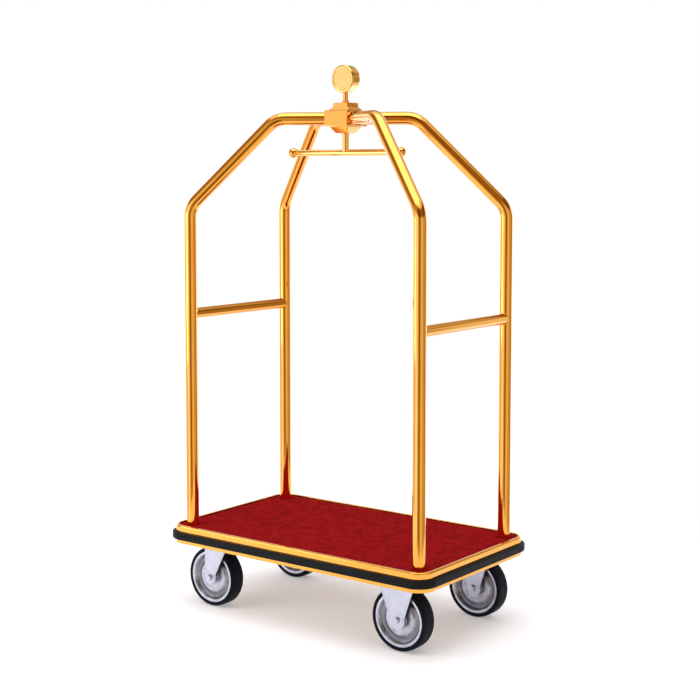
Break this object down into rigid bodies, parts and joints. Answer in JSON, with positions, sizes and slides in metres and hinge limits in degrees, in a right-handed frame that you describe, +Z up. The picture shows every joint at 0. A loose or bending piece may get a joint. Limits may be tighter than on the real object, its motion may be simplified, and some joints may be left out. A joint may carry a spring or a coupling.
{
  "type": "hotel luggage cart",
  "caption": "Birdcage hotel luggage cart: carpeted deck with bumper, bent posts meeting in a hub with a disc finial, hanging rail and casters.",
  "frame": {"origin": "on the floor under the middle of the deck", "axes": "+X along the deck's long axis towards the fixed casters, +Y across the deck, +Z up"},
  "size_m": [1.08, 0.64, 1.8366],
  "materials": {
    "gold": "polished gold plating",
    "carpet": "short cut-pile carpet, deep red",
    "plywood": "plain birch plywood",
    "bumper_rubber": "satin black rubber",
    "tyre_rubber": "matt black rubber",
    "zinc": "bright zinc plating",
    "dark_steel": "plain steel"
  },
  "bodies": {
    "cart": {"rim_frame": "gold", "bumper_strip": "bumper_rubber", "deck_board": "plywood", "carpet": "carpet", "cross_channel_left": "dark_steel", "cross_channel_middle": "dark_steel", "cross_channel_right": "dark_steel", "post_front_left": "gold", "post_plug_front_left": "dark_steel", "post_front_right": "gold", "post_plug_front_right": "dark_steel", "post_back_left": "gold", "post_plug_back_left": "dark_steel", "post_back_right": "gold", "post_plug_back_right": "dark_steel", "crossbar_left": "gold", "crossbar_right": "gold", "hub_body": "gold", "hub_cap_top": "gold", "hub_cap_bottom": "gold", "finial_stem": "gold", "finial_disc": "gold", "rail_stem": "gold", "hanging_rail": "gold", "rail_ball_left": "gold", "rail_ball_right": "gold", "caster_plate_front_left": "zinc", "swivel_race_front_left": "zinc", "kingpin_front_left": "zinc", "fixed_fork_front_right": "zinc", "axle_bolt_front_right": "zinc", "caster_plate_back_left": "zinc", "swivel_race_back_left": "zinc", "kingpin_back_left": "zinc", "fixed_fork_back_right": "zinc", "axle_bolt_back_right": "zinc"},
    "swivel_front_left": {"swivel_fork_front_left": "zinc", "axle_bolt_front_left": "zinc"},
    "swivel_back_left": {"swivel_fork_back_left": "zinc", "axle_bolt_back_left": "zinc"},
    "wheel_front_left": {"wheel_sleeve_front_left": "dark_steel", "wheel_disc_outer_front_left": "zinc", "wheel_disc_inner_front_left": "zinc", "tyre_front_left": "tyre_rubber"},
    "wheel_front_right": {"wheel_sleeve_front_right": "dark_steel", "wheel_disc_outer_front_right": "zinc", "wheel_disc_inner_front_right": "zinc", "tyre_front_right": "tyre_rubber"},
    "wheel_back_left": {"wheel_sleeve_back_left": "dark_steel", "wheel_disc_outer_back_left": "zinc", "wheel_disc_inner_back_left": "zinc", "tyre_back_left": "tyre_rubber"},
    "wheel_back_right": {"wheel_sleeve_back_right": "dark_steel", "wheel_disc_outer_back_right": "zinc", "wheel_disc_inner_back_right": "zinc", "tyre_back_right": "tyre_rubber"}
  },
  "joints": [
    {"name": "swivel_front_left_turn", "type": "hinge", "parent": "cart", "child": "swivel_front_left", "pos_m": [-0.357, -0.219, 0.23], "axis": [0, 0, 1], "continuous": true},
    {"name": "swivel_back_left_turn", "type": "hinge", "parent": "cart", "child": "swivel_back_left", "pos_m": [-0.357, 0.219, 0.23], "axis": [0, 0, 1], "continuous": true},
    {"name": "wheel_front_left_spin", "type": "hinge", "parent": "swivel_front_left", "child": "wheel_front_left", "pos_m": [-0.392, -0.219, 0.1015], "axis": [0, 1, 0], "continuous": true},
    {"name": "wheel_front_right_spin", "type": "hinge", "parent": "cart", "child": "wheel_front_right", "pos_m": [0.392, -0.219, 0.1015], "axis": [0, 1, 0], "continuous": true},
    {"name": "wheel_back_left_spin", "type": "hinge", "parent": "swivel_back_left", "child": "wheel_back_left", "pos_m": [-0.392, 0.219, 0.1015], "axis": [0, 1, 0], "continuous": true},
    {"name": "wheel_back_right_spin", "type": "hinge", "parent": "cart", "child": "wheel_back_right", "pos_m": [0.392, 0.219, 0.1015], "axis": [0, 1, 0], "continuous": true}
  ]
}
